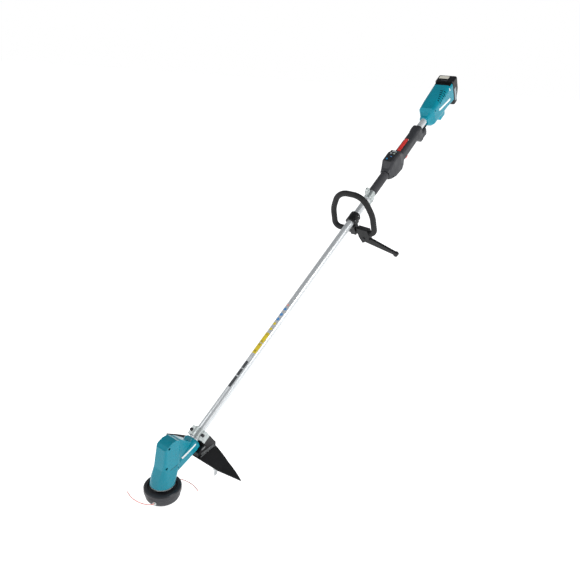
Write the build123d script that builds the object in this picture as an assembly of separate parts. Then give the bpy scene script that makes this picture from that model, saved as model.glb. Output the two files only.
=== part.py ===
from build123d import *
import math
import os

# A battery brush cutter of the string trimmer kind.
# The origin is on the spindle axis, level with the underside of the bump knob.
# +Z is up the spindle, -Y is the front, +Y runs back to the operator, +X is the operator's left.
# The shaft group is drawn flat, with X along the shaft from the spindle axis, Y up from the
# shaft's axis and Z to the operator's left, and is then leaned back onto the shaft's axis.

# ---------------------------------------------------------------- driving dimensions, mm
RAKE = 34.0                 # the shaft's angle above the horizontal
SHAFT_HEIGHT = 48.0         # where the shaft axis meets the spindle axis
PIPE_R = 12.0
PIPE_BORE = 10.5
PIPE_FROM = 66.0
PIPE_TO = 1600.0

HEAD_R = 48.0               # line head, over its cover
LINE_R = 1.0                # nylon line
EYELET_HEIGHT = 20.0        # the plane that the line spins in
EYELET_ANGLE = -67.0        # where the first eyelet faces, from +X
EYELET_R = 4.0
SPINDLE_R = 4.0

MOTOR_R = 19.3              # stator
CAN_R = 20.5                # the can that holds it
RIM_R = 32.0                # the motor head's rim, over the line head
WALL = 2.5

GUARD_BACK = 170.0          # the guard's skirt, behind the spindle
GUARD_RIM = 35.0            # height of the skirt's lower edge
GUARD_WALL = 3.0
CUTTER_X = 44.0             # the line cutter's inner face
CUTTER_T = 1.6
CLAMP_AT = 149.0            # guard clamp, along the shaft
CLAMP_LOW = -13.5           # its underside, below the shaft axis
CLAMP_SCREW_X = 21.0

LOOP_AT = 992.0             # loop handle, along the shaft
LOOP_TILT = 12.0            # how far the loop leans back
LOOP_TUBE_R = 9.6
LOOP_LOW = -45.5            # the loop's lower bar and its top, from the shaft axis
LOOP_HIGH = 92.0
CLIP_FROM = 972.0           # the loop's clamp on the pipe
CLIP_TO = 1008.0
HANGER_AT = 1102.0
HANGER_BORE_R = 5.5
SLEEVE_FROM = 1122.0
SLEEVE_TO = 1214.0

PANEL_TOP = 37.0            # control panel's surface above the shaft axis
CABLE_R = 3.8               # the short lead between the handle and the battery housing
CABLE_N = -27.0
CASE_FROM = 1522.0          # battery housing
CASE_TO = 1706.0
RAIL_FROM = 1688.0          # the battery's rail inside it
BATTERY_TO = 1748.0
BATTERY_HALF = 36.0
RUNNING_FIT = 0.05          # round a shaft or pipe that something turns or slides on
SCREW_R = 1.8
SCREW_HEAD_R = 3.4
SCREW_BOSS_R = 4.6
SCREW_LONG = 22.0

SHAFT = Plane(
    origin=(0, 0, SHAFT_HEIGHT),
    x_dir=(0, math.cos(math.radians(RAKE)), math.sin(math.radians(RAKE))),
    z_dir=(1, 0, 0),
)


# ---------------------------------------------------------------- helpers
def keep(name, shape):
    """Writes one finished piece, or one group of like pieces, to its own file."""
    solids = list(shape.solids())
    piece = solids[0] if len(solids) == 1 else Compound(children=solids)
    piece.label = name
    export_step(piece, f"parts/{name}.step")


def keep_shaft(name, shape):
    """Leans a piece drawn flat onto the shaft's axis, then writes it."""
    keep(name, SHAFT.location * shape)


def upright(r, z0, z1, x=0.0, y=0.0):
    """A round bar along Z."""
    return Solid.make_cylinder(r, z1 - z0, Plane((x, y, z0), z_dir=(0, 0, 1)))


def rod(r, s0, s1, n=0.0, x=0.0):
    """A round bar along the shaft."""
    return Solid.make_cylinder(r, s1 - s0, Plane((s0, n, x), z_dir=(1, 0, 0)))


def post(r, n0, n1, s=0.0, x=0.0):
    """A round bar standing square to the shaft."""
    return Solid.make_cylinder(r, n1 - n0, Plane((s, n0, x), z_dir=(0, 1, 0)))


def across(r, x0, x1, s=0.0, n=0.0):
    """A round bar across the shaft, from side to side."""
    return Solid.make_cylinder(r, x1 - x0, Plane((s, n, x0), z_dir=(0, 0, 1)))


def block(x0, x1, y0, y1, z0, z1):
    """A rectangular block between two corners."""
    middle = Pos((x0 + x1) / 2, (y0 + y1) / 2, (z0 + z1) / 2)
    return middle * Box(x1 - x0, y1 - y0, z1 - z0)


def turned(profile):
    """A solid turned about Z from its outline in radius and height."""
    outline = Polyline(*[(r, 0, z) for r, z in profile], close=True)
    return revolve(make_face(outline), Axis.Z)


def section(s, width, low, high, corner):
    """A rounded rectangle square to the shaft, at s."""
    sketch = Pos((low + high) / 2, 0) * RectangleRounded(high - low, width, corner)
    return Plane.YZ.offset(s) * sketch


def swollen(sections, wall=0.0):
    """A ruled loft through sections (s, width, low, high, corner), shrunk by a wall."""
    faces = []
    for s, width, low, high, corner in sections:
        faces.append(section(s, width - 2 * wall, low + wall, high - wall, max(corner - wall, 0.8)))
    return loft(faces, ruled=True)


def half(shape, side):
    """The part of a shape on one side of the middle plane; the sides are +1 and -1."""
    reach = 260
    middle = 2000
    keeper = Pos(0, 0, side * reach / 2) * Box(2 * middle, 2 * middle, reach)
    return shape & keeper


def half_upright(shape, side):
    """As half(), for the motor housing, whose sides are +X and -X."""
    reach = 260
    keeper = Pos(side * reach / 2, 0, 0) * Box(reach, 2 * reach, 4 * reach)
    return shape & keeper


def biggest(shape):
    """The largest solid of a shape, without any sliver that a cut left."""
    return sorted(shape.solids(), key=lambda s: -s.volume)[0]


def with_screws(shell, outer, places, head_at):
    """Bosses, counterbores and the shell screws through them, one along each place's Z."""
    screws = []
    for place in places:
        shell += (place * Cylinder(SCREW_BOSS_R, 120)) & outer
        fixing = screw(SCREW_R, SCREW_HEAD_R, 2.2, head_at - SCREW_LONG, head_at, place)
        shell -= fixing + place * Pos(0, 0, head_at + 40) * Cylinder(SCREW_HEAD_R, 80)
        screws.append(fixing)
    return shell, screws


def screw(r, head_r, head_h, tip, head_at, place):
    """A screw along place's Z: its shank from tip to head_at, then its head."""
    shank = Pos(0, 0, (tip + head_at) / 2) * Cylinder(r, head_at - tip)
    return place * (shank + Pos(0, 0, head_at + head_h / 2) * Cylinder(head_r, head_h))


# ---------------------------------------------------------------- line head
def line_head():
    cover = turned([
        (4.0, 27.0), (40.6, 27.0), (40.6, 25.4), (45.5, 25.4), (HEAD_R, 28.0), (HEAD_R, 38.5),
        (45.5, 41.0), (38.5, 41.0), (36.0, 36.0), (13.0, 36.0), (12.0, 41.0), (4.0, 41.0),
    ])
    keep("head_cover", cover)

    body = turned([
        (21.6, 6.0), (36.0, 6.0), (42.0, 9.0), (44.5, 14.0), (45.5, 25.4), (40.6, 25.4),
        (40.6, 15.0), (37.5, 9.0), (21.6, 9.0),
    ])
    eyelets = []
    for turn in (0, 180):
        place = Rot(0, 0, EYELET_ANGLE + turn) * Pos(0, 0, EYELET_HEIGHT) * Rot(0, 90, 0)
        barrel = Pos(0, 0, 43) * Cylinder(EYELET_R, 5) + Pos(0, 0, 46.2) * Cylinder(EYELET_R + 1, 1.6)
        body -= place * Pos(0, 0, 43) * Cylinder(EYELET_R, 14)
        body -= place * Pos(0, 0, 46.2) * Cylinder(EYELET_R + 1, 1.6)
        eyelets.append(place * (barrel - Pos(0, 0, 43) * Cylinder(1.4, 20)))
    keep("head_body", body)
    keep("line_eyelets", Compound(children=eyelets))

    spool = turned([
        (8.6, 11.2), (36.5, 11.2), (36.5, 12.8), (15.0, 12.8), (15.0, 20.0), (36.5, 20.0),
        (36.5, 21.4), (12.0, 21.4), (12.0, 14.0), (8.6, 14.0),
    ])
    keep("line_spool", spool)
    keep("line_winding", turned([(15.0, 12.8), (33.5, 12.8), (33.5, 20.0), (15.0, 20.0)]))

    knob = turned([
        (0.0, 0.0), (15.0, 0.0), (19.0, 2.2), (21.0, 6.0), (21.0, 9.4), (11.0, 9.4),
        (11.0, 11.2), (8.6, 11.2), (8.6, 14.0), (0.0, 14.0),
    ])
    keep("bump_knob", knob)

    wire = Helix(pitch=2.6, height=6.4, radius=9.6)
    ring = Plane(origin=wire @ 0, z_dir=wire % 0) * Circle(0.6)
    keep("bump_spring", Pos(0, 0, 20.0) * sweep(ring, path=wire, is_frenet=True))
    nut = Pos(0, 0, 41.0) * extrude(RegularPolygon(8.0, 6), 3.5)
    keep("head_nut", nut - upright(SPINDLE_R, 40, 46))


# Each free end of the line starts at its eyelet's mouth and curls back against the turn, in the
# plane that the line spins in. A point is a radius and an angle behind the eyelet.
TAIL_ROUTE = [(47.0, 0), (52.0, 4.5), (57.0, 14), (62.0, 25.5), (68.0, 37.5), (75.0, 49.5),
              (82.5, 60.5), (89.0, 70.5)]


def tail_route(turn):
    """The points of one free end's route."""
    points = []
    for radius, behind in TAIL_ROUTE:
        angle = math.radians(EYELET_ANGLE + turn - behind)
        points.append((radius * math.cos(angle), radius * math.sin(angle), EYELET_HEIGHT))
    return points


def bend_radii(points):
    """The radius of each bend, as large as the two runs beside it allow."""
    radii = []
    for a, b, c in zip(points, points[1:], points[2:]):
        into = Vector(*b) - Vector(*a)
        out = Vector(*c) - Vector(*b)
        turn = math.radians(into.get_angle(out))
        radii.append(0.45 * min(into.length, out.length) / math.tan(turn / 2))
    return radii


def tube_along(points, radius):
    """A round tube on straight runs joined by tangent arcs."""
    radii = bend_radii(points)
    print("bend radii", [round(r, 1) for r in radii])
    path = FilletPolyline(*points, radius=radii)
    profile = Plane(origin=path @ 0, z_dir=path % 0) * Circle(radius)
    tube = sweep(profile, path=path)
    print("tube volume", round(tube.volume, 1), "section x length",
          round(math.pi * radius ** 2 * path.length, 1), "length", round(path.length, 1))
    return tube


def line_tails():
    for name, turn in (("line_tail_a", 0), ("line_tail_b", 180)):
        keep(name, tube_along(tail_route(turn), LINE_R))


# ---------------------------------------------------------------- motor head
def motor():
    keep("spindle", upright(SPINDLE_R, 26.0, 78.0))
    keep("motor_rotor", upright(12.0, 56.6, 66.0) - upright(SPINDLE_R, 50.0, 70.0))
    stator = upright(MOTOR_R, 56.0, 66.5) - upright(12.8, 50.0, 70.0)
    for slot in range(12):
        stator -= Rot(0, 0, slot * 30) * Pos(15.0, 0, 61) * Box(4.8, 2.2, 40)
    keep("motor_stator", stator)
    bearings = []
    for low in (51.0, 71.6):
        bearings.append(upright(8.0, low, low + 5) - upright(SPINDLE_R + RUNNING_FIT, low - 1, low + 6))
    keep("spindle_bearings", Compound(children=bearings))

    bracket = turned([
        (8.0, 56.0), (8.0, 51.0), (6.0, 51.0), (6.0, 49.0), (26.0, 48.0), (31.0, 45.5),
        (RIM_R, 46.5), (RIM_R, 49.6), (CAN_R, 49.6), (CAN_R, 71.0), (MOTOR_R, 71.0), (MOTOR_R, 56.0),
    ])
    keep("motor_bracket", bracket)
    carrier = upright(CAN_R - 0.1, 71.0, 72.4) + upright(16.8, 72.4, 77.0)
    carrier -= upright(8.0, 71.6, 80.0) + upright(5.5, 70.0, 80.0)
    keep("upper_bearing_carrier", carrier)

    fan = upright(7.0, 67.2, 70.4)
    for blade in range(9):
        fan += Rot(0, 0, blade * 40) * Pos(12.0, 0, 68.8) * Rot(20, 0, 0) * Box(12.0, 1.2, 3.0)
    keep("cooling_fan", fan - upright(SPINDLE_R, 60, 80))


HOUSING_SECTIONS = [        # height, half width, front, back, corner radius
    (50.0, 31.8, -31.8, 31.8, 31.0),
    (70.0, 27.5, -23.5, 35.0, 18.0),
    (97.0, 22.5, -12.5, 42.0, 9.0),
    (152.0, 19.5, -3.5, 45.0, 5.5),
    (176.0, 18.0, 0.0, 45.0, 5.5),
]


def housing_tower(wall):
    """The motor housing's round foot, drawn in and leaning back into a slim tower."""
    faces = []
    for z, half_width, front, back, corner in HOUSING_SECTIONS:
        flat = RectangleRounded(2 * (half_width - wall), back - front - 2 * wall, max(corner - wall, 2))
        faces.append(Pos(0, (front + back) / 2, z) * flat)
    return loft(faces, ruled=True)


def housing_side_view(wall):
    """The housing's domed top, seen from the side."""
    outline = FilletPolyline(
        (0, -60, 40), (0, -60, 140), (0, -4.5 + wall, 152 - wall), (0, 4, 161 - wall),
        (0, 18, 167.5 - wall), (0, 34, 167.5 - wall), (0, 46 - wall, 160 - wall),
        (0, 47 - wall, 95), (0, 60, 40), radius=4.0, close=True)
    return extrude(make_face(outline), 80, dir=(1, 0, 0), both=True)


SOCKET_SECTIONS = [(40, 30, -9, 18, 8), (112, 40, -20, 21.5, 12)]


def motor_housing():
    end = swollen([(111.5, 40, -20, 21.5, 12), (125, 40, -20, 21.5, 12), (130, 32, -15, 17, 10)])
    outer = (housing_tower(0) & housing_side_view(0)) + SHAFT.location * (swollen(SOCKET_SECTIONS) + end)
    web = make_face(Polyline((0, 30, 150), (0, 34, 165.5), (0, 48, 161), (0, 66, 147), (0, 85, 131),
                             (0, 86, 112), (0, 40, 80), close=True))
    outer += extrude(web, 14, dir=(1, 0, 0), both=True)
    hollow = housing_tower(WALL) & housing_side_view(WALL)
    hollow += SHAFT.location * swollen(SOCKET_SECTIONS, WALL)
    shell = outer - hollow - upright(CAN_R + 0.1, 49.0, 71.0) - upright(16.9, 70.0, 77.0)
    shell -= upright(CAN_R, 70.0, 72.5)
    shell -= SHAFT.location * rod(PIPE_R, 40, 140)
    fixings = [Pos(0, y, z) * Rot(0, 90, 0) for y, z in ((-4, 104), (8, 156), (34, 88))]
    shell, screws = with_screws(shell, outer, fixings, 13.5)
    keep("motor_housing_left", biggest(half_upright(shell, 1)))
    keep("motor_housing_right", biggest(half_upright(shell, -1)))
    return screws


# ---------------------------------------------------------------- guard
def guard_roof(drop, inset):
    """The guard's solid form: a low roof over a fan, lowered and inset for its hollow.

    The wing on the operator's right is the deeper one.
    """
    front = 102.0 - 2 * inset
    tip_x = 136.0 - 1.2 * inset
    left_y = 148.0 - inset
    right_y = 131.0 - 2.4 * inset
    plan = make_face(Line((-24, front), (24, front)) + Line((24, front), (tip_x, left_y))
                     + ThreePointArc((tip_x, left_y), (0, GUARD_BACK - inset), (-tip_x, right_y))
                     + Line((-tip_x, right_y), (-24, front)))
    tall = extrude(Pos(0, 0, GUARD_RIM - 5) * plan, 60)
    ridge = 76.0 - drop
    roof = make_face(Polyline((-140, 0, 0), (-140, 0, 60 - drop), (-24, 0, ridge), (24, 0, ridge),
                              (75, 0, 52 - drop), (140, 0, 36 - drop), (140, 0, 0), close=True))
    return tall & extrude(roof, 400, dir=(0, 1, 0))


def guard():
    shell = guard_roof(0, 0) - guard_roof(GUARD_WALL, GUARD_WALL)
    shell -= block(-200, 200, 0, 250, 0, GUARD_RIM)
    neck = make_face(Polyline((0, 103, 72), (0, 169, 72), (0, 169, 91), (0, 162, 100),
                              (0, 146, 123), (0, 103, 106), close=True))
    shell += extrude(neck, 21.5, dir=(1, 0, 0), both=True)
    shell += SHAFT.location * block(CLAMP_AT - 13, CLAMP_AT + 13, -34, CLAMP_LOW, -26, 26)
    shell -= SHAFT.location * block(90, 190, CLAMP_LOW, 60, -60, 60)
    shell -= SHAFT.location * block(60, 134, -24, 60, -24, 24)
    for first in (21.0, -24.5):
        for rib in range(8):
            y = 106 + 7.6 * rib
            shell += block(first, first + 3.5, y, y + 2.8, 70, 78)
    shell += block(CUTTER_X - 6, CUTTER_X, 136, 158, 36, 66)
    for side in (1, -1):
        shell -= SHAFT.location * post(SCREW_R, -32, 0, CLAMP_AT, side * CLAMP_SCREW_X)
    cutter_screw = Pos(0, 148, 42) * Rot(0, 90, 0)
    fixing = screw(SCREW_R, SCREW_HEAD_R, 2.0, CUTTER_X - 5, CUTTER_X + CUTTER_T, cutter_screw)
    keep("guard", biggest(shell - fixing))
    blade = block(CUTTER_X, CUTTER_X + CUTTER_T, 138, 152, 5, 48)
    blade -= block(CUTTER_X - 1, CUTTER_X + 3, 130, 142, 0, 26)
    keep("line_cutter", blade - fixing)
    keep("line_cutter_screw", fixing)


def guard_clamp():
    tube = rod(PIPE_R, 130, 170)
    lower = block(136, 162, CLAMP_LOW, -0.4, -26, 26) - tube
    upper = block(136, 162, 0.4, 5.0, -26, 26)
    upper += rod(16.5, 136, 162) & block(136, 162, 0.4, 20, -28, 28)
    upper -= tube
    screws = []
    for side in (1, -1):
        place = Pos(CLAMP_AT, 0, side * CLAMP_SCREW_X) * Rot(-90, 0, 0)
        one = screw(SCREW_R, 4.2, 4.0, -32.0, 5.0, place)
        lower -= one
        upper -= one
        socket = post(2.0, 6.6, 12, CLAMP_AT, side * CLAMP_SCREW_X)
        screws.append(one - socket)
    keep_shaft("guard_clamp_lower", lower)
    keep_shaft("guard_clamp_upper", upper)
    keep_shaft("guard_clamp_screws", Compound(children=screws))


# ---------------------------------------------------------------- pipe
def pipe():
    keep_shaft("main_pipe", rod(PIPE_R, PIPE_FROM, PIPE_TO) - rod(PIPE_BORE, 0, 2000))
    keep_shaft("power_cable", rod(3.5, PIPE_FROM + 4, PIPE_TO + 4))


# ---------------------------------------------------------------- loop handle
def on_loop(shape):
    """Puts a shape drawn on the loop's plane, X to the left and Y up, onto the flat shaft."""
    lean = math.radians(LOOP_TILT)
    plane = Plane(origin=(LOOP_AT, 0, 0), x_dir=(0, 0, 1),
                  z_dir=(-math.cos(lean), math.sin(lean), 0))
    return plane.location * shape


def loop_path():
    """The middle line of the D shaped tube, on its own plane."""
    right = [(76.5, LOOP_LOW), (74.5, 25.0), (46.0, LOOP_HIGH)]
    left = [(-x, y) for x, y in reversed(right)]
    return FilletPolyline(*right, *left, radius=[20, 90, 55, 55, 90, 20], close=True)


def loop_tube():
    """The loop's tube, on its own plane."""
    path = loop_path()
    ring = Plane(origin=path @ 0, z_dir=path % 0) * Circle(LOOP_TUBE_R)
    return sweep(ring, path=path)


def loop_handle():
    keep_shaft("loop_handle", on_loop(loop_tube()))

    bar = on_loop(Pos(0, LOOP_LOW, 0) * Rot(0, 90, 0) * Cylinder(LOOP_TUBE_R, 200))
    hole = rod(PIPE_R + RUNNING_FIT, 900, 1060)
    lower = block(CLIP_FROM, CLIP_TO, -9, -0.5, -16.5, 16.5)
    lower += block(CLIP_FROM, CLIP_FROM + 24, -55, -8, -11, 9)
    for side in (1, -1):
        lower += rod(5.0, CLIP_FROM - 9, CLIP_TO - 12, -12.5, side * 11.5)
    lower -= block(940, 1020, -0.5, 20, -40, 40) + hole + bar
    upper = rod(18, CLIP_FROM, CLIP_TO) & block(960, 1020, 0.5, 30, -30, 30)
    upper -= hole
    bolts = []
    for s in (CLIP_FROM + 7, CLIP_TO - 7):
        for side in (1, -1):
            place = Pos(s, 0, side * 14.5) * Rot(-90, 0, 0)
            one = screw(1.6, 2.8, 3.0, -8.0, 5.0, place)
            upper -= place * Pos(0, 0, 20) * Cylinder(2.8, 30)
            lower -= one
            upper -= one
            bolts.append(one)
    keep_shaft("loop_clamp_lower", biggest(lower))
    keep_shaft("loop_clamp_upper", biggest(upper))
    keep_shaft("loop_clamp_bolts", Compound(children=bolts))


def barrier():
    """The bar that keeps the operator's leg away, clamped on the loop's lower bar."""
    base = make_face(Polyline((14, -29), (54, -31), (62, -50), (58, -68), (33, -82), (20, -60),
                              close=True))
    arm = make_face(Polyline((32, -79), (50, -60), (153, -95), (152, -105), close=True))
    whole = extrude(base, 10.5, both=True) + extrude(arm, 4.5, both=True)
    whole += Pos(151, -101, 0) * Cylinder(8.0, 11.0)
    fixing = screw(2.5, 4.2, 3.0, -10.5, 10.5, Pos(38, -64, 0))
    keep_shaft("barrier_bar", on_loop(biggest(whole - loop_tube() - fixing)))
    keep_shaft("barrier_bolt", on_loop(fixing))


# ---------------------------------------------------------------- hanger and sleeve
def hanger():
    band = rod(15.2, HANGER_AT - 15, HANGER_AT + 15)
    band += block(HANGER_AT - 15, HANGER_AT + 15, -24, -8, -6.5, 6.5)
    eye = block(HANGER_AT - 14, HANGER_AT + 6, 10, 26, -2.5, 2.5)
    eye += across(12.0, -2.5, 2.5, HANGER_AT - 4, 27)
    whole = band + eye - across(HANGER_BORE_R, -5, 5, HANGER_AT - 4, 29)
    whole -= rod(PIPE_R, 1000, 1200)
    whole -= block(HANGER_AT - 16, HANGER_AT + 16, -30, -11, -1.0, 1.0)
    side = Pos(HANGER_AT, -18.5, 0)
    fixing = screw(SCREW_R, SCREW_HEAD_R, 3.0, -6.5, 6.5, side)
    keep_shaft("hanger", whole - fixing)
    keep_shaft("hanger_screw", fixing)


def sleeve():
    """The ribbed rubber sleeve in front of the switch handle."""
    tube = rod(15.0, SLEEVE_FROM, SLEEVE_TO)
    for ring in range(14):
        groove = rod(16, SLEEVE_FROM + 5 + ring * 6, SLEEVE_FROM + 7 + ring * 6)
        tube -= groove - rod(14.2, SLEEVE_FROM, SLEEVE_TO) - block(1000, 1300, -20, 20, 4, 20)
    keep_shaft("grip_sleeve", tube - rod(PIPE_R, 1000, 1300))


# ---------------------------------------------------------------- switch handle
GRIP_SECTIONS = [           # along the shaft, width, underside, top, corner radius
    (1216, 34, -20, 17, 10), (1226, 38, -27, 20, 11), (1250, 46, -33, PANEL_TOP, 9),
    (1292, 48, -38, PANEL_TOP, 10), (1308, 42, -34, 30, 10), (1322, 36, -25, 17, 12),
    (1434, 35, -23, 17, 13), (1446, 37, -30, 18, 11), (1459, 38, -44, 18.5, 10), (1471, 36, -46, 18, 10),
]
GRIP_FOOT = [(1464, 33, -43, -13, 8), (1500, 34, -43.5, -14, 8), (1507, 29, -38, -16, 6)]
TRIGGER_PIVOT = (1331.0, -20.5)
LEVER_PIVOT = (1387.0, 17.6)
BUTTONS = {"power_button": (1255.0, -7.0), "mode_button": (1286.0, -6.5)}
LAMP = (1285.0, 6.0)


def switch_handle():
    outer = swollen(GRIP_SECTIONS) + swollen(GRIP_FOOT)
    shell = outer - swollen(GRIP_SECTIONS, WALL)
    shell += outer & block(1216, 1219, -60, 60, -60, 60)
    shell += outer & block(1468, 1520, -60, 60, -60, 60)
    places = [Pos(s, n, 0) for s, n in ((1232, -20), (1306, -24), (1408, -17.5), (1466, -35))]
    shell, screws = with_screws(shell, outer, places, 11.0)
    shell -= rod(PIPE_R, 1200, 1520)
    shell -= block(1246, 1302, 30, 45, -14, 14)
    shell -= block(1321, 1372, -60, -13, -7.4, 7.4)
    shell -= block(1321, 1395, 12, 30, -6.2, 6.2)
    shell -= rod(CABLE_R, 1460, 1520, CABLE_N)
    pins = [across(1.5, -12.0, 12.0, *TRIGGER_PIVOT), across(1.2, -10.0, 10.0, *LEVER_PIVOT)]
    for s, n in (TRIGGER_PIVOT, LEVER_PIVOT):
        boss = (across(3.2, -18, 18, s, n) - across(5, -7.4, 7.4, s, n)) & outer
        shell += boss - rod(PIPE_R, 1200, 1520)
    for pin in pins:
        shell -= pin
    keep_shaft("switch_handle_left", biggest(half(shell, 1)))
    keep_shaft("switch_handle_right", biggest(half(shell, -1)))
    keep_shaft("pivot_pins", Compound(children=pins))
    return screws


def controls():
    trigger = make_face(Polyline((1327, -17.5), (1336, -17.5), (1366, -19), (1367, -35),
                                 (1360, -38), (1348, -34), (1334, -30), (1326, -26), close=True))
    trigger = extrude(trigger, 6.6, both=True) - across(1.5 + RUNNING_FIT, -10, 10, *TRIGGER_PIVOT)
    keep_shaft("trigger", trigger)
    lever = make_face(Polyline((1324, 15.6), (1380, 14.6), (1391.5, 14.6), (1392.5, 18.5),
                               (1388, 20.4), (1370, 21.6), (1330, 22.2), (1324, 20.4), close=True))
    lever = extrude(lever, 5.4, both=True) - across(1.2 + RUNNING_FIT, -10, 10, *LEVER_PIVOT)
    for rib in range(10):
        lever -= block(1331 + 5 * rib, 1333 + 5 * rib, 20.9, 25, -8, 8)
    keep_shaft("lock_off_lever", lever)

    panel = block(1246, 1302, 34.5, PANEL_TOP, -14, 14)
    for name, (s, x) in BUTTONS.items():
        panel -= post(3.8, 30, 40, s, x)
        button = post(3.6, 30.0, PANEL_TOP + 1.2, s, x) + post(4.6, 29.0, 30.6, s, x)
        keep_shaft(name, button)
    panel -= post(3.0, 30, 40, *LAMP)
    keep_shaft("control_panel", panel)
    keep_shaft("lamp_lens", post(3.0, 31.0, PANEL_TOP + 0.2, *LAMP))
    board = block(1247, 1298, 24.4, 26.0, -17, 17)
    for s, x in BUTTONS.values():
        board += block(s - 2.5, s + 2.5, 25.9, 27.2, x - 2.5, x + 2.5)
    keep_shaft("panel_board", board)
    switch = block(1256, 1292, -30, -13.5, -11, 11) + block(1292, 1298, -22, -15, -5, 5)
    keep_shaft("trigger_switch", switch)


def rear_cable():
    """The short lead from the switch handle back to the battery housing."""
    keep_shaft("rear_cable", rod(CABLE_R, 1473, 1566, CABLE_N))


# ---------------------------------------------------------------- battery housing
CASE_SECTIONS = [           # along the shaft, width, underside, top, corner radius
    (CASE_FROM, 32, -17, 15, 10), (1532, 36, -26, 16, 11), (1543, 46, -34, 22, 12),
    (1553, 60, -34, 35, 14), (1600, 67, -34, 40, 18), (1660, 69, -34, 42, 16), (CASE_TO, 70, -37, 42, 12),
]
FOOT_SECTIONS = [(1594, 46, -42, -20, 7), (1604, 56, -52, -20, 9), (1634, 56, -52, -20, 9),
                 (1646, 48, -36, -20, 7)]


def battery_housing():
    outer = swollen(CASE_SECTIONS) + swollen(FOOT_SECTIONS)
    shell = outer - swollen(CASE_SECTIONS, WALL) - block(RAIL_FROM, CASE_TO + 5, -32, 60, -31, 31)
    shell += outer & block(CASE_FROM, CASE_FROM + 6, -60, 60, -60, 60)
    shell += outer & block(1556, 1570, -60, -14, -60, 60)
    places = [Pos(s, n, 0) for s, n in ((1562, 20), (1640, 30), (1612, -28), (1662, -22))]
    shell, screws = with_screws(shell, outer, places, 20.0)
    shell -= block(RAIL_FROM, CASE_TO + 5, -32, 60, -31, 31)
    shell -= rod(PIPE_R, 1500, PIPE_TO)
    shell -= rod(CABLE_R, 1500, 1566, CABLE_N)
    keep_shaft("battery_housing_left", biggest(half(shell, 1)))
    keep_shaft("battery_housing_right", biggest(half(shell, -1)))
    keep_shaft("motor_controller", block(1606, 1650, -20, 18, -22, 22))
    return screws


def rail_slot(gap):
    """The T shaped way that the battery slides in, open towards the top."""
    deep = CASE_TO - 12
    stem = block(deep - gap, CASE_TO + 20, -28, 80, -21 - gap, 21 + gap)
    return stem + block(deep - gap, deep + 5 + gap, -28, 80, -26 - gap, 26 + gap)


def battery_mount():
    rail = block(RAIL_FROM, CASE_TO, -32, 38, -31, 31) - rail_slot(0.4).moved(Pos(0, -0.4, 0))
    blades = []
    for x in (-11, 11):
        blades.append(block(RAIL_FROM - 12, CASE_TO - 5, -22, 4, x - 0.5, x + 0.5))
    rail -= Compound(children=blades)
    keep_shaft("battery_rail", rail)
    keep_shaft("terminal_blades", Compound(children=blades))
    holder = block(RAIL_FROM - 14, RAIL_FROM, -16, 12, -20, 20)
    keep_shaft("terminal_block", holder - Compound(children=blades))


# ---------------------------------------------------------------- battery
def battery():
    low = -54.0
    high = 46.0
    wide = 2 * BATTERY_HALF
    case_from = CASE_TO + 0.6
    split = case_from + 5.4
    tray = swollen([(split, wide, low, high, 7), (1743, wide, low, high, 7),
                    (BATTERY_TO, wide - 7, low + 4, high - 4, 6)])
    side_view = [(split - 9, low - 1), (1723, low - 1), (1737, -18), (BATTERY_TO, 12),
                 (BATTERY_TO, 60), (split - 9, 60)]
    tray &= extrude(make_face(Polyline(*side_view, close=True)), 60, both=True)
    inner_view = [(s - WALL, n) for s, n in side_view]
    tray -= block(split - 1, BATTERY_TO - WALL, low + WALL, 39.8, -33.2, 33.2) & extrude(
        make_face(Polyline(*inner_view, close=True)), 60, both=True)
    recess = block(case_from + 2, case_from + 15, 40, 60, -13.4, 13.4)
    keep_shaft("battery_case", tray - recess)

    cover = swollen([(case_from, wide - 4, low + 2, high - 1, 6), (case_from + 3, wide, low, high, 7),
                     (split, wide, low, high, 7)])
    cover -= block(case_from + WALL, split + 1, low + WALL, 39.8, -33.2, 33.2)
    cover += rail_slot(0.0) & block(1600, case_from + 1, -28, 37, -60, 60)
    for x in (-11, 11):
        cover -= block(CASE_TO - 13, CASE_TO - 1, -40, 12, x - 1.2, x + 1.2)
    keep_shaft("battery_cover", cover - recess)
    button = block(case_from + 2.4, case_from + 9, 40.4, high + 1.0, -13, 13)
    keep_shaft("battery_release_button", button)
    cells = []
    for row in range(4):
        cells.append(across(9.0, -32.5, 32.5, case_from + 11.7, -24.1 + 18.2 * row))
    keep_shaft("battery_cells", Compound(children=cells))


os.makedirs("parts", exist_ok=True)
line_head()
line_tails()
motor()
guard()
guard_clamp()
pipe()
loop_handle()
barrier()
hanger()
sleeve()
controls()
rear_cable()
battery_mount()
battery()
head_screws = motor_housing()
leaned_screws = switch_handle() + battery_housing()
keep("shell_screws", Compound(children=head_screws + [SHAFT.location * one for one in leaned_screws]))
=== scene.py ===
# %% [markdown]
# # A battery brush cutter, part by part
# This lesson dresses the imported model of a cordless brush cutter: a line head driven by the motor above it, a long
# pipe, a loop handle with a barrier bar, a switch handle and a slide-on battery. The hard pieces come from the frame,
# true to size, and they keep their shapes here. What is added is finishes, plain labels and stripes, the painted shade
# of the vents and of a groove, painted highlights along the guard's ribs, and the two free ends of nylon line.

# %% Load the frame
import math

import bpy
from mathutils import Matrix, Vector


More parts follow.
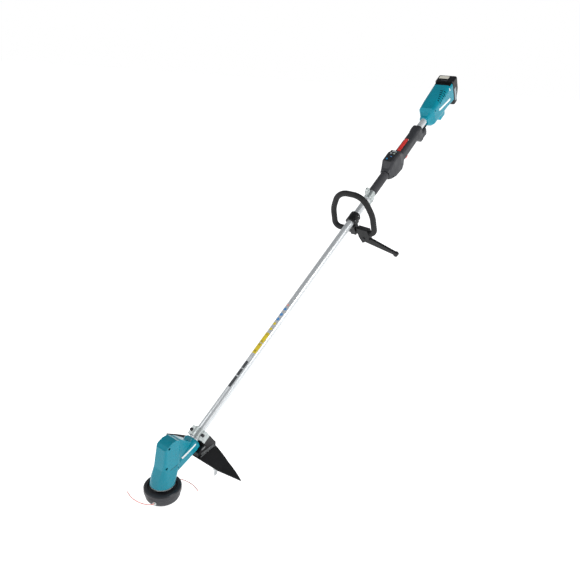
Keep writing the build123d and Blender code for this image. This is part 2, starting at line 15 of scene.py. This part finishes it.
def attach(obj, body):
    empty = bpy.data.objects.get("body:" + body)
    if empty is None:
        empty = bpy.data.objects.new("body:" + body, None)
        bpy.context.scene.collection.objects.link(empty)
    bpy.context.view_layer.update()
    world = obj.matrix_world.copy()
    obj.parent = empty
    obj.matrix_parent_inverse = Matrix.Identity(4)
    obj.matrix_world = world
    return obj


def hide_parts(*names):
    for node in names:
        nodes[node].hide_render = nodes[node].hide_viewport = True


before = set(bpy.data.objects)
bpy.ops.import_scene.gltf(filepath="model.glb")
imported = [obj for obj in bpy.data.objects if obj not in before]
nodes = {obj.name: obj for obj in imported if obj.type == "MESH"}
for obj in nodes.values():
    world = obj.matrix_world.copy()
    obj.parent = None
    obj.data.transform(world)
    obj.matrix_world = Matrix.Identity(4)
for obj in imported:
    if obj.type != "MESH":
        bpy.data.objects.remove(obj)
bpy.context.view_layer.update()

# %% [markdown]
# ## Working along the shaft
# Nearly everything sits on a shaft that leans back at 34 degrees. Placing a label on a leaning pipe is awkward in
# world coordinates, so the shaft has its own: X along it, Y up from it and Z to one side, in millimetres. A place is
# given in those coordinates, and one matrix then leans it with the shaft.

# %% The shaft's own coordinates
MM = 0.001
RAKE = math.radians(34.0)
SHAFT_HEIGHT = 48.0 * MM
along = Vector((0.0, math.cos(RAKE), math.sin(RAKE)))
upwards = Vector((0.0, -math.sin(RAKE), math.cos(RAKE)))
leftwards = Vector((1.0, 0.0, 0.0))
lean = Matrix((along, upwards, leftwards)).transposed().to_4x4()
lean.translation = (0.0, 0.0, SHAFT_HEIGHT)
print("the grip is at", [round(c, 3) for c in lean @ Vector((1.38, 0, 0))])

# %% [markdown]
# ## Camera
# The camera stands in front of the head, on the operator's left, about head high, and looks down along the shaft.
# A short tele lens keeps the long pipe from stretching. The small turn about the line of sight is part of the pose.

# %% Camera
view_data = bpy.data.cameras.new("camera")
view_data.lens = 34.64
view_data.sensor_width = 36.0
view_data.clip_end = 50.0
camera = bpy.data.objects.new("camera", view_data)
bpy.context.scene.collection.objects.link(camera)
camera.location = (0.8999, -0.7492, 1.0480)
camera.rotation_euler = (math.radians(68.3436), math.radians(-3.6840), math.radians(37.3386))
bpy.context.scene.camera = camera
print("camera at", [round(c, 3) for c in camera.location])

# %% [markdown]
# ## The two free ends of line
# Nylon line is stiff for its size. It comes straight out of its eyelet and curls back, keeping the bend it had on
# the spool. A NURBS spline of order 3 with its ends pinned gives that one smooth curve from a few listed points,
# each a radius and an angle behind the eyelet. The round bevel is one metre deep and each point scales it down to the
# line's own radius, because a curve's box grows by its points' radii, which are one metre if they are left alone.

# %% Lines
EYELET_HEIGHT = 20.0
EYELET_ANGLE = -67.0
LINE_RADIUS = 1.0
LINE_ROUTE = [(47.0, 0), (52.0, 4.5), (57.0, 14), (62.0, 25.5), (68.0, 37.5), (75.0, 49.5),
              (82.5, 60.5), (89.0, 70.5)]


def line_point(radius, behind, turn):
    """A point of the line's route, in metres."""
    angle = math.radians(EYELET_ANGLE + turn - behind)
    return Vector((radius * math.cos(angle), radius * math.sin(angle), EYELET_HEIGHT)) * MM


def free_end(name, turn):
    """One free end of line, from its eyelet's mouth to its cut tip."""
    route = [line_point(radius, behind, turn) for radius, behind in LINE_ROUTE]
    shape = bpy.data.curves.new(name, "CURVE")
    shape.dimensions = "3D"
    shape.bevel_depth = 1.0
    shape.bevel_resolution = 4
    shape.use_fill_caps = True
    spline = shape.splines.new("NURBS")
    spline.points.add(len(route) - 1)
    for spot, place in zip(spline.points, route):
        spot.co = (*place, 1.0)
        spot.radius = LINE_RADIUS * MM
    spline.order_u = 3
    spline.use_endpoint_u = True
    spline.resolution_u = 12
    line = bpy.data.objects.new(name, shape)
    bpy.context.scene.collection.objects.link(line)
    return line, route


lines = []
for letter, turn in (("a", 0), ("b", 180)):
    line, route = free_end("nylon_end_" + letter, turn)
    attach(line, "line_head")
    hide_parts("line_tail_" + letter)
    lines.append(line)
print("free ends of line:", len(lines))

# %% [markdown]
# ## Colour and node helpers
# Colours are picked as a screen shows them, in sRGB, but shaders count light, so one function turns them to linear.
# One more adds a node with its settings, its fixed sockets and its links, which keeps each finish short to read.

# %% Colour and nodes
def linear(code):
    """An sRGB hex colour as linear RGBA."""
    parts = [int(code[i:i + 2], 16) / 255 for i in (1, 3, 5)]
    return (*[c / 12.92 if c <= 0.04045 else ((c + 0.055) / 1.055) ** 2.4 for c in parts], 1.0)


def add(tree, kind, settings=(), sockets=(), links=()):
    """Adds a node, sets it, fills its sockets and joins them to other nodes' outputs."""
    fresh = tree.nodes.new(kind)
    for key, value in settings:
        setattr(fresh, key, value)
    for key, value in sockets:
        fresh.inputs[key].default_value = value
    for key, source in links:
        tree.links.new(source, fresh.inputs[key])
    return fresh


def per_mm(size):
    """A pattern's scale for a feature of that size in millimetres."""
    return 1000.0 / size


def fresh_finish(name, roughness, metallic=0.0):
    """A new material with its shader's own sockets set."""
    finish = bpy.data.materials.new(name)
    finish.use_nodes = True
    shader = finish.node_tree.nodes["Principled BSDF"]
    shader.inputs["Roughness"].default_value = roughness
    shader.inputs["Metallic"].default_value = metallic
    return finish, finish.node_tree, shader


print("mid grey in linear light:", round(linear("#808080")[0], 3))

# %% [markdown]
# ## Moulded plastic
# Most of the tool is injection moulded. The mould is spark eroded, so the skin has a fine, even grain that softens
# the gloss. Handling polishes some patches and dusts others. The grain on a real shell is about 0.3 mm, too fine to
# show from here, so it is drawn a little coarser. A slow noise shifts the colour by a few percent, and another one
# moves the roughness.

# %% Moulded plastic
def moulded(name, deep, pale, roughness, grain=0.9, relief=0.05, patch=60.0, shine=0.5):
    """A moulded plastic: its deep and pale colour, roughness, grain and relief in mm, and its shine."""
    finish, tree, shader = fresh_finish(name, roughness)
    shader.inputs["Specular IOR Level"].default_value = shine
    place = add(tree, "ShaderNodeTexCoord").outputs["Object"]
    tone = add(tree, "ShaderNodeTexNoise", (), (("Scale", per_mm(patch)), ("Detail", 4.0), ("Roughness", 0.6)),
               (("Vector", place),))
    ramp = add(tree, "ShaderNodeValToRGB", (), (), (("Fac", tone.outputs["Fac"]),))
    ramp.color_ramp.elements[0].position = 0.3
    ramp.color_ramp.elements[0].color = linear(deep)
    ramp.color_ramp.elements[1].position = 0.7
    ramp.color_ramp.elements[1].color = linear(pale)
    tree.links.new(ramp.outputs["Color"], shader.inputs["Base Color"])
    rubbed = add(tree, "ShaderNodeTexNoise", (), (("Scale", per_mm(patch / 3)), ("Detail", 3.0)),
                 (("Vector", place),))
    gloss = add(tree, "ShaderNodeMapRange", (),
                (("From Min", 0.3), ("From Max", 0.7), ("To Min", roughness - 0.06), ("To Max", roughness + 0.08)),
                (("Value", rubbed.outputs["Fac"]),))
    tree.links.new(gloss.outputs["Result"], shader.inputs["Roughness"])
    skin = add(tree, "ShaderNodeTexNoise", (), (("Scale", per_mm(grain)), ("Detail", 2.0)), (("Vector", place),))
    bump = add(tree, "ShaderNodeBump", (), (("Strength", 0.6), ("Distance", relief * MM)),
               (("Height", skin.outputs["Fac"]),))
    tree.links.new(bump.outputs["Normal"], shader.inputs["Normal"])
    return finish


teal_abs = moulded("teal_abs_shell", "#007e91", "#008a9e", 0.27, grain=1.0, relief=0.02, patch=45.0, shine=0.32)
dark_nylon = moulded("dark_glass_filled_nylon", "#2b2c2f", "#35363a", 0.45, grain=1.1, relief=0.08, shine=0.35)
guard_nylon = moulded("black_polypropylene", "#141415", "#1b1b1d", 0.46, grain=1.4, relief=0.08, shine=0.32)
head_nylon = moulded("line_head_nylon", "#25262a", "#303136", 0.42, grain=1.0, relief=0.05, shine=0.4)
battery_abs = moulded("battery_abs_blend", "#0f1012", "#17181b", 0.40, grain=0.8, relief=0.05, shine=0.35)
red_pom = moulded("red_acetal", "#cf2f2a", "#dd4039", 0.36, grain=0.8, relief=0.03, patch=20.0)
blue_key = moulded("blue_button_plastic", "#1f6f9c", "#2a86b5", 0.35, grain=0.6, relief=0.02, patch=8.0)
panel_black = moulded("panel_gloss_black", "#1b1c1e", "#25272a", 0.25, grain=0.9, relief=0.01, patch=15.0, shine=0.4)
green_board = moulded("lacquered_board", "#0c4f2a", "#14653a", 0.35, patch=10.0)
cell_sleeve = moulded("shrunk_cell_sleeve", "#1e6a44", "#2a7f55", 0.3, patch=20.0)
print("moulded plastics ready")

# %% [markdown]
# ## Rubber and foam
# The sleeve is moulded rubber, matt and a little dusty. The loop is a bent steel tube under a slid-on foam hose, whose
# skin shows small closed cells. Cells are rounded pits, so a Voronoi pattern makes a better bump for it than noise.

# %% Rubber and foam
def soft_black(name, deep, pale, roughness, cell, relief):
    """Rubber or foam with pits of a size in mm."""
    finish = moulded(name, deep, pale, roughness, grain=cell * 2, relief=relief, patch=25.0)
    tree = finish.node_tree
    shader = tree.nodes["Principled BSDF"]
    shader.inputs["Specular IOR Level"].default_value = 0.25
    place = add(tree, "ShaderNodeTexCoord").outputs["Object"]
    pits = add(tree, "ShaderNodeTexVoronoi", (), (("Scale", per_mm(cell)),), (("Vector", place),))
    first_bump = shader.inputs["Normal"].links[0].from_node
    bump = add(tree, "ShaderNodeBump", (), (("Strength", 0.5), ("Distance", relief * MM)),
               (("Height", pits.outputs["Distance"]), ("Normal", first_bump.outputs["Normal"])))
    tree.links.new(bump.outputs["Normal"], shader.inputs["Normal"])
    return finish


sleeve_rubber = soft_black("ribbed_sleeve_rubber", "#37373a", "#424245", 0.55, 1.2, 0.05)
loop_foam = soft_black("loop_foam_hose", "#19191a", "#222223", 0.58, 1.6, 0.08)
lead_rubber = soft_black("lead_rubber", "#1c1b1b", "#272626", 0.50, 0.8, 0.03)
print("rubbers ready")

# %% [markdown]
# ## Metals
# The pipe is drawn aluminium, blasted and clear anodised. Its thick matt oxide looks half like metal and half like
# pale paint, so it is only partly metallic, with the faintest lines along the draw from a stretched noise. Clamps and
# the hanger are cast aluminium with a sandy skin, and screws and the cutter are zinc-plated steel. A bare metal's base
# colour is the tint of what it mirrors.

# %% Metals
def drawn_metal(name, deep, pale, roughness, metal, across, length, relief):
    """A metal with lines along the shaft: how metallic it looks, and the lines' spacing and length in mm."""
    finish, tree, shader = fresh_finish(name, roughness, metal)
    place = add(tree, "ShaderNodeTexCoord").outputs["Object"]
    turned = add(tree, "ShaderNodeMapping", (("vector_type", "POINT"),), (("Rotation", (-RAKE, 0.0, 0.0)),),
                 (("Vector", place),))
    drawn = add(tree, "ShaderNodeMapping", (("vector_type", "POINT"),),
                (("Scale", (per_mm(across), per_mm(length), per_mm(across))),),
                (("Vector", turned.outputs["Vector"]),))
    lines_along = add(tree, "ShaderNodeTexNoise", (), (("Scale", 1.0), ("Detail", 3.0)),
                      (("Vector", drawn.outputs["Vector"]),))
    ramp = add(tree, "ShaderNodeValToRGB", (), (), (("Fac", lines_along.outputs["Fac"]),))
    ramp.color_ramp.elements[0].position = 0.3
    ramp.color_ramp.elements[0].color = linear(deep)
    ramp.color_ramp.elements[1].position = 0.7
    ramp.color_ramp.elements[1].color = linear(pale)
    tree.links.new(ramp.outputs["Color"], shader.inputs["Base Color"])
    bump = add(tree, "ShaderNodeBump", (), (("Strength", 0.4), ("Distance", relief * MM)),
               (("Height", lines_along.outputs["Fac"]),))
    tree.links.new(bump.outputs["Normal"], shader.inputs["Normal"])
    return finish


def cast_metal(name, deep, pale, roughness, grit=1.4, relief=0.08):
    """A cast, blasted or plated metal: a moulded look with its shader made metallic."""
    finish = moulded(name, deep, pale, roughness, grain=grit, relief=relief, patch=18.0)
    finish.node_tree.nodes["Principled BSDF"].inputs["Metallic"].default_value = 1.0
    return finish


pipe_aluminium = drawn_metal("anodised_pipe", "#cdd0d2", "#dbdee0", 0.36, 0.55, 2.0, 90.0, 0.01)
cast_aluminium = cast_metal("cast_aluminium", "#b3bab9", "#c8cecd", 0.44)
rim_aluminium = cast_metal("turned_rim_aluminium", "#b9c4c6", "#d6dfe0", 0.36)
zinc_steel = cast_metal("zinc_plated_steel", "#a9acae", "#c2c5c6", 0.34, grit=0.8, relief=0.02)
black_steel = cast_metal("black_oxide_steel", "#3a3a3c", "#4b4b4e", 0.42, grit=0.8, relief=0.03)
lamination = cast_metal("stacked_laminations", "#6d6a66", "#85817c", 0.5)
brass = cast_metal("contact_brass", "#b98f45", "#cfa65a", 0.3, grit=0.7, relief=0.02)
print("metals ready")

# %% [markdown]
# ## Nylon line, lamp and prints
# The line is clear nylon with an orange dye: light goes in and comes out pinker, so it gets a little subsurface. The
# lamp is a clear plug that lights up in use. Labels are vinyl films with plain printed fields and no words.

# %% Line, lamp and prints
line_nylon, line_tree, line_shader = fresh_finish("dyed_nylon_line", 0.3)
line_place = add(line_tree, "ShaderNodeTexCoord").outputs["Object"]
line_tone = add(line_tree, "ShaderNodeTexNoise", (), (("Scale", per_mm(14.0)), ("Detail", 2.0)),
                (("Vector", line_place),))
line_ramp = add(line_tree, "ShaderNodeValToRGB", (), (), (("Fac", line_tone.outputs["Fac"]),))
line_ramp.color_ramp.elements[0].color = linear("#e9705e")
line_ramp.color_ramp.elements[1].color = linear("#f2958a")
line_tree.links.new(line_ramp.outputs["Color"], line_shader.inputs["Base Color"])
line_shader.inputs["Subsurface Weight"].default_value = 0.3
line_shader.inputs["Subsurface Radius"].default_value = (0.002, 0.001, 0.0006)

cream_vinyl = moulded("cream_vinyl_label", "#d8d4c6", "#e4e1d6", 0.4, grain=2.5, relief=0.01, patch=12.0)
grey_foil = moulded("grey_foil_sticker", "#7d868a", "#98a1a5", 0.35, grain=2.5, relief=0.01, patch=9.0)
yellow_vinyl = moulded("yellow_vinyl_label", "#d8bd1d", "#e8d137", 0.4, grain=2.5, relief=0.01, patch=9.0)
blue_print = moulded("blue_print", "#3f83c4", "#5a98d2", 0.4, patch=6.0)
white_print = moulded("white_print", "#dde3e4", "#eef1f1", 0.4, patch=8.0)
pale_print = moulded("pale_print", "#c4c7c9", "#d0d3d4", 0.4, patch=8.0)
grey_print = moulded("grey_print", "#8e9496", "#a3a9ab", 0.4, patch=8.0)
# Pale strips: the guard's small mark, and painted highlights for the light caught along the guard's ribs.
guard_mark_and_rib_highlight = moulded("guard_mark_and_painted_rib_highlight", "#7f8283", "#8f9293", 0.5, patch=8.0)
# Painted shade: a dark teal that stands in for the shade inside the groove on the tower.
teal_shadow = moulded("painted_groove_shade", "#004652", "#00505c", 0.5, patch=8.0)
dark_print = moulded("dark_print", "#3b3d40", "#4a4c50", 0.4, patch=8.0)
pale_red_print = moulded("pale_red_print", "#e0928c", "#e8a49e", 0.4, patch=6.0)
# Painted shade: matt black that stands in for the dark inside of the vent slots.
painted_vent_shade = moulded("painted_vent_shade", "#050606", "#0b0c0d", 0.7, patch=5.0, shine=0.1)
lamp_plastic = moulded("lamp_plastic", "#9fb3a6", "#c3d3c8", 0.15, patch=3.0)
for line in lines:
    line.data.materials.append(line_nylon)
print("prints ready")

# %% [markdown]
# ## Finishes on the frame's pieces
# Each piece of the frame keeps its mesh and only has its material changed, so its shape stays the measured one.

# %% Assign finishes
FINISHES = {
    "barrier_bar": guard_nylon, "barrier_bolt": black_steel, "battery_case": battery_abs, "battery_cells": cell_sleeve,
    "battery_cover": battery_abs, "battery_housing_left": teal_abs, "battery_housing_right": teal_abs,
    "battery_rail": battery_abs, "battery_release_button": dark_nylon, "bump_knob": head_nylon,
    "bump_spring": zinc_steel, "control_panel": panel_black, "cooling_fan": dark_nylon, "grip_sleeve": sleeve_rubber,
    "guard": guard_nylon, "guard_clamp_lower": cast_aluminium, "guard_clamp_upper": cast_aluminium,
    "guard_clamp_screws": black_steel, "hanger": cast_aluminium, "hanger_screw": zinc_steel, "head_body": head_nylon,
    "head_cover": head_nylon, "head_nut": zinc_steel, "lamp_lens": lamp_plastic, "line_cutter": zinc_steel,
    "line_cutter_screw": zinc_steel, "line_eyelets": cast_aluminium, "line_spool": head_nylon,
    "line_winding": line_nylon, "lock_off_lever": red_pom, "loop_clamp_bolts": zinc_steel,
    "loop_clamp_lower": guard_nylon, "loop_clamp_upper": guard_nylon, "loop_handle": loop_foam,
    "main_pipe": pipe_aluminium, "mode_button": grey_print, "motor_bracket": rim_aluminium,
    "motor_controller": black_steel, "motor_housing_left": teal_abs, "motor_housing_right": teal_abs,
    "motor_rotor": lamination, "motor_stator": lamination, "panel_board": green_board, "pivot_pins": zinc_steel,
    "power_button": blue_key, "power_cable": lead_rubber, "rear_cable": lead_rubber, "shell_screws": black_steel,
    "spindle": zinc_steel, "spindle_bearings": zinc_steel, "switch_handle_left": dark_nylon,
    "switch_handle_right": dark_nylon, "terminal_blades": brass, "terminal_block": battery_abs, "trigger": red_pom,
    "trigger_switch": battery_abs, "upper_bearing_carrier": cast_aluminium,
}
for name, finish in FINISHES.items():
    for spot in nodes[name].material_slots:
        spot.material = finish
left_out = sorted(set(nodes) - set(FINISHES) - {"line_tail_a", "line_tail_b"})
print("finishes on", len(FINISHES), "nodes; without one:", left_out)

# %% [markdown]
# ## Modelling helpers
# A piece starts as a primitive. Nothing else may be selected when it is added, because the operators act on all that
# is. Once it is shaped, its place is applied to its mesh, so that its origin is the frame's.

# %% Modelling helpers
def begin(operator, **options):
    """Adds a primitive with nothing else selected, and returns its object."""
    bpy.ops.object.select_all(action="DESELECT")
    operator(**options)
    return bpy.context.object


def settle(piece):
    """Applies the object's own place, so that its origin is the frame's."""
    bpy.ops.object.select_all(action="DESELECT")
    piece.select_set(True)
    bpy.context.view_layer.objects.active = piece
    bpy.ops.object.transform_apply(location=True, rotation=True, scale=True)


def apply_modifier(piece, kind, **settings):
    """Adds a modifier with its settings and applies it."""
    modifier = piece.modifiers.new(kind.lower(), kind)
    for key, value in settings.items():
        setattr(modifier, key, value)
    bpy.ops.object.select_all(action="DESELECT")
    piece.select_set(True)
    bpy.context.view_layer.objects.active = piece
    bpy.ops.object.modifier_apply(modifier=modifier.name)


def hand_over(piece, name, finish, body):
    """Names a finished piece, gives it its finish and puts it on its body."""
    piece.name = name
    piece.data.name = name
    piece.data.materials.clear()
    piece.data.materials.append(finish)
    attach(piece, body)
    return piece


print("helpers ready")

# %% [markdown]
# ## Films and slots that lie on a surface
# A label is a thin film that follows what it is stuck to. A fine grid is set a little off the surface, projected
# straight down onto it, and given a thickness of a tenth of a millimetre. Its corners are cut off first, much as the
# die that stamps a sheet of labels rounds them. The same way makes a vent's slot, a dark film of painted shade.

# %% Films on a surface
FILM = 0.12          # a film's thickness
GLUE = 0.02          # and the gap of glue under it, which keeps the two surfaces apart
HOVER = 14.0         # how far off the surface a grid starts
CORNER_CUT = 0.3     # how much of a corner's rounding its straight cut takes off


def trim(piece):
    """Cuts away what hangs over an edge: the corners that found nothing under them stayed on the grid's plane."""
    bpy.ops.object.mode_set(mode="EDIT")
    bpy.ops.mesh.select_mode(type="VERT")
    bpy.ops.mesh.select_all(action="DESELECT")
    bpy.ops.object.mode_set(mode="OBJECT")
    missed = 0
    for corner in piece.data.vertices:
        corner.select = abs(corner.co.z) < 0.1 * MM
        missed += corner.select
    if missed:
        print(missed, "corners trimmed")
        bpy.ops.object.mode_set(mode="EDIT")
        bpy.ops.mesh.delete(type="VERT")
        bpy.ops.object.mode_set(mode="OBJECT")


def film(name, spot, size, facing, target, finish, body="machine", round_by=1.5, turn=0.0, thick=FILM,
         step=2.5, hover=HOVER):
    """A film of a size in mm at spot on the shaft, facing away from the node that it is stuck to."""
    long_side, short_side = size
    columns = max(4, round(long_side / step))
    rows = max(2, round(short_side / step))
    piece = begin(bpy.ops.mesh.primitive_grid_add, x_subdivisions=columns, y_subdivisions=rows, size=1.0)
    piece.scale = (long_side * MM, short_side * MM, 1.0)
    settle(piece)
    reach_x = (long_side / 2 - CORNER_CUT * round_by) * MM
    reach_y = (short_side / 2 - CORNER_CUT * round_by) * MM
    bpy.ops.object.mode_set(mode="EDIT")
    for side_x in (-1, 1):
        for side_y in (-1, 1):
            corner = (side_x * reach_x, side_y * reach_y, 0)
            bpy.ops.mesh.select_all(action="SELECT")
            bpy.ops.mesh.bisect(plane_co=corner, plane_no=(side_x, side_y, 0), clear_outer=True)
    bpy.ops.object.mode_set(mode="OBJECT")
    away = Vector(facing).normalized()
    first = Vector((1.0, 0.0, 0.0)) - away * away.x
    first = (Matrix.Rotation(math.radians(turn), 4, away) @ first).normalized()
    stand = Matrix((first, away.cross(first), away)).transposed().to_4x4()
    stand.translation = Vector(spot) * MM + away * hover * MM
    piece.matrix_world = lean @ stand
    apply_modifier(piece, "SHRINKWRAP", target=nodes[target], wrap_method="PROJECT", use_project_z=True,
                   use_negative_direction=True, use_positive_direction=False, offset=GLUE * MM)
    trim(piece)
    apply_modifier(piece, "SOLIDIFY", thickness=thick * MM, offset=1.0)
    settle(piece)
    return hand_over(piece, name, finish, body)


UP = (0, 1, 0)
LEFT = (0, 0, 1)
for number, (middle, length) in enumerate(((434.0, 36.0), (473.0, 36.0))):
    film("yellow_field_%d" % number, (middle, 12.0, 0.0), (length, 14.0), UP, "main_pipe", yellow_vinyl)
for number, middle in enumerate((424.0, 447.0, 459.0, 485.0)):
    film("field_mark_%d" % number, (middle, 12.2, 0.0), (5.0, 8.0), UP, "main_pipe", dark_print,
         hover=4.0, round_by=2.0)
for number, middle in enumerate((506.0, 526.0)):
    film("yellow_spot_%d" % number, (middle, 12.0, 0.0), (9.0, 9.0), UP, "main_pipe", yellow_vinyl,
         round_by=4.5, turn=45.0)
for number, middle in enumerate((544.0, 562.0, 583.0)):
    film("blue_dot_%d" % number, (middle, 12.0, 0.0), (10.0, 9.6), UP, "main_pipe", blue_print,
         round_by=5.0, step=1.2)
film("red_dot", (599.0, 12.0, 0.0), (7.0, 6.8), UP, "main_pipe", pale_red_print, round_by=3.4,
     step=1.0)
film("grey_label", (396.0, 12.0, 0.0), (12.0, 11.0), UP, "main_pipe", pale_print)
for number, (middle, length) in enumerate(((315.0, 36.0), (348.0, 22.0), (374.0, 24.0))):
    film("plain_bar_%d" % number, (middle, 12.0, 0.0), (length, 9.0), UP, "main_pipe", dark_print)
print("films on the pipe ready")

# %% [markdown]
# ## Stripes on the housings, a groove's painted shade, and a mark and painted highlights on the guard
# Where a maker would print a name there are only plain stripes, a tenth of a millimetre proud. The groove on the tower
# is a dark film of painted shade, and the guard's ribs are paler strips 0.8 mm thick, painted highlights along its
# neck.

# %% Stripes
film("socket_stripe", (97.0, 12.5, 22.0), (50.0, 5.0), (0, 0.3, 1), "motor_housing_left", white_print,
     turn=-9.0, round_by=1.0)
film("housing_stripe", (1631.0, 0.0, 36.0), (90.0, 8.5), LEFT, "battery_housing_left", white_print,
     turn=-8.5, round_by=1.2)
film("housing_mark", (1680.0, 30.0, 33.0), (5.0, 11.0), LEFT, "battery_housing_left", white_print,
     round_by=1.0)
# The groove is painted shade: a dark teal strip where the groove's recess would fall into shade.
film("tower_groove_shade", (44.0, 28.0, 22.0), (31.0, 1.3), LEFT, "motor_housing_left", teal_shadow,
     turn=-26.5, round_by=0.6, step=1.5)
# Each rib strip is a painted highlight: a pale band where the black ribs catch the light.
for number in range(3):
    spot = (130.0 + 2.2 * number, -49.0 + 3.0 * number, 30.0)
    film("guard_rib_highlight_%d" % number, spot, (54.0 - 5 * number, 1.1), (0, 0.5, 1),
         "guard", guard_mark_and_rib_highlight, turn=-26.0, round_by=0.5, step=1.5, thick=0.8, hover=60.0)
film("guard_mark", (128.0, -30.0, 28.0), (14.0, 4.0), LEFT, "guard", guard_mark_and_rib_highlight, turn=-14.0,
     round_by=1.0)
print("stripes ready")

# %% [markdown]
# ## Films on the battery and the panel
# The battery wears a cream label on top and a foil sticker on its side, both left blank. They ride on the battery, so
# they leave with it when it slides off.

# %% Battery and panel
film("battery_label", (1731.0, 46.0, -9.0), (16.0, 38.0), UP, "battery_case", cream_vinyl,
     body="battery", round_by=2.5)
film("battery_sticker", (1721.0, -14.0, 36.0), (15.0, 50.0), LEFT, "battery_case", grey_foil, body="battery",
     round_by=2.0)
film("panel_print", (1296.0, 37.0, 2.0), (6.0, 18.0), UP, "control_panel", grey_print, round_by=1.5)
film("panel_mark", (1270.0, 37.0, 2.0), (3.0, 7.0), UP, "control_panel", blue_print, round_by=1.0)
print("films on the battery and the panel ready")

# %% [markdown]
# ## Vents
# The motor controller needs air, through two columns of slots over the battery housing's shoulder. The housing's shape
# isn't changed here, so each slot is a thin matt black film of painted shade, which at arm's length reads as an
# opening.

# %% Vents
for row in range(6):
    for column in range(2):
        spot = (1600.0 + 10.5 * row, 24.0 + 2.6 * row + 9.5 * column, 27.0 - 5.0 * column)
        film("vent_%d_%d" % (row, column), spot, (3.4, 8.0), (0, 0.8, 1), "battery_housing_left", painted_vent_shade,
             round_by=1.2, turn=-12.0)
print("vents ready")

# %% [markdown]
# ## Studio
# A very wide pale floor that glows a little stays white out to the horizon. The sky is white at the horizon and grey
# overhead, so that surfaces facing up stay dark enough to show their colour. A soft light in front and a smaller one
# on the other side draw streaks along the rounded edges.

# %% Studio
FLOOR_RADIUS = 120.0
floor = begin(bpy.ops.mesh.primitive_circle_add, vertices=96, radius=FLOOR_RADIUS, fill_type="NGON")
floor.name = "pale_floor"
floor_paint, floor_tree, floor_shader = fresh_finish("pale_paint", 0.85)
floor_shader.inputs["Base Color"].default_value = linear("#f2f2f2")
floor_shader.inputs["Specular IOR Level"].default_value = 0.0
floor_shader.inputs["Emission Color"].default_value = linear("#ffffff")
floor_shader.inputs["Emission Strength"].default_value = 0.9
floor.data.materials.append(floor_paint)
settle(floor)


def softbox(name, place, target, size, power):
    """A square area light that points at a target."""
    data = bpy.data.lights.new(name, "AREA")
    data.energy = power
    data.size = size
    lamp = bpy.data.objects.new(name, data)
    bpy.context.scene.collection.objects.link(lamp)
    lamp.location = place
    lamp.rotation_mode = "QUATERNION"
    lamp.rotation_quaternion = (Vector(target) - Vector(place)).to_track_quat("-Z", "Y")
    return lamp


softbox("key", (-1.4, -1.8, 3.0), (0.0, 0.6, 0.4), 1.4, 34.0)
softbox("streak", (2.4, 0.8, 2.0), (0.0, 0.8, 0.5), 0.7, 30.0)
sky = bpy.data.worlds.new("sky")
sky.use_nodes = True
sky_tree = sky.node_tree
sky_place = add(sky_tree, "ShaderNodeTexCoord").outputs["Generated"]
sky_split = add(sky_tree, "ShaderNodeSeparateXYZ", (), (), (("Vector", sky_place),))
sky_ramp = add(sky_tree, "ShaderNodeValToRGB", (), (), (("Fac", sky_split.outputs["Z"]),))
sky_ramp.color_ramp.elements[0].position = 0.16
sky_ramp.color_ramp.elements[0].color = linear("#ffffff")
sky_ramp.color_ramp.elements[1].position = 0.6
sky_ramp.color_ramp.elements[1].color = linear("#75787b")
sky_tree.links.new(sky_ramp.outputs["Color"], sky_tree.nodes["Background"].inputs["Color"])
sky_tree.nodes["Background"].inputs["Strength"].default_value = 1.0
bpy.context.scene.world = sky
bpy.context.scene.view_settings.view_transform = "Standard"
print("studio ready")
